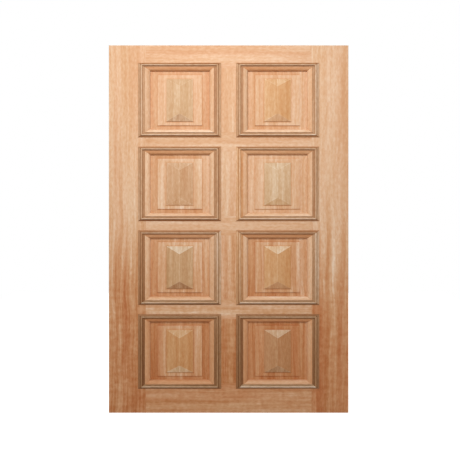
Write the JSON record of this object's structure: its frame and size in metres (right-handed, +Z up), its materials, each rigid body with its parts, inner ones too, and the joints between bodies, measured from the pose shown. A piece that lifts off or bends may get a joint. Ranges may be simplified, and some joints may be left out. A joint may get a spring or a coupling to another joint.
{
  "type": "panelled timber door leaf",
  "caption": "Wide timber door leaf whose stiles, rails and mullions hold raised and fielded panels with hip-roofed blocks, each panel framed by mitred bolection moulding.",
  "frame": {"origin": "middle of the leaf's bottom edge, at half its thickness", "axes": "+X to the right as seen from the front, front face towards -Y, +Z up the leaf"},
  "size_m": [1.33, 0.065, 2.04],
  "materials": {
    "frame_timber": "bare, sanded",
    "panel_timber": "bare, sanded",
    "block_timber": "bare, sanded",
    "moulding_timber": "bare, sanded",
    "dowel_timber": "bare, sanded"
  },
  "bodies": {
    "root": {"left_stile": "frame_timber", "right_stile": "frame_timber", "top_rail": "frame_timber", "upper_rail": "frame_timber", "middle_rail": "frame_timber", "lower_rail": "frame_timber", "bottom_rail": "frame_timber", "mullion_1": "frame_timber", "mullion_2": "frame_timber", "mullion_3": "frame_timber", "mullion_4": "frame_timber", "panel_1_left": "panel_timber", "panel_1_right": "panel_timber", "panel_2_left": "panel_timber", "panel_2_right": "panel_timber", "panel_3_left": "panel_timber", "panel_3_right": "panel_timber", "panel_4_left": "panel_timber", "panel_4_right": "panel_timber", "front_block_1_left": "block_timber", "front_block_1_right": "block_timber", "front_block_2_left": "block_timber", "front_block_2_right": "block_timber", "front_block_3_left": "block_timber", "front_block_3_right": "block_timber", "front_block_4_left": "block_timber", "front_block_4_right": "block_timber", "back_block_1_left": "block_timber", "back_block_1_right": "block_timber", "back_block_2_left": "block_timber", "back_block_2_right": "block_timber", "back_block_3_left": "block_timber", "back_block_3_right": "block_timber", "back_block_4_left": "block_timber", "back_block_4_right": "block_timber", "front_moulding_1_left": "moulding_timber", "front_moulding_1_right": "moulding_timber", "front_moulding_2_left": "moulding_timber", "front_moulding_2_right": "moulding_timber", "front_moulding_3_left": "moulding_timber", "front_moulding_3_right": "moulding_timber", "front_moulding_4_left": "moulding_timber", "front_moulding_4_right": "moulding_timber", "back_moulding_1_left": "moulding_timber", "back_moulding_1_right": "moulding_timber", "back_moulding_2_left": "moulding_timber", "back_moulding_2_right": "moulding_timber", "back_moulding_3_left": "moulding_timber", "back_moulding_3_right": "moulding_timber", "back_moulding_4_left": "moulding_timber", "back_moulding_4_right": "moulding_timber", "rail_dowels": "dowel_timber", "mullion_dowels": "dowel_timber"}
  },
  "joints": []
}
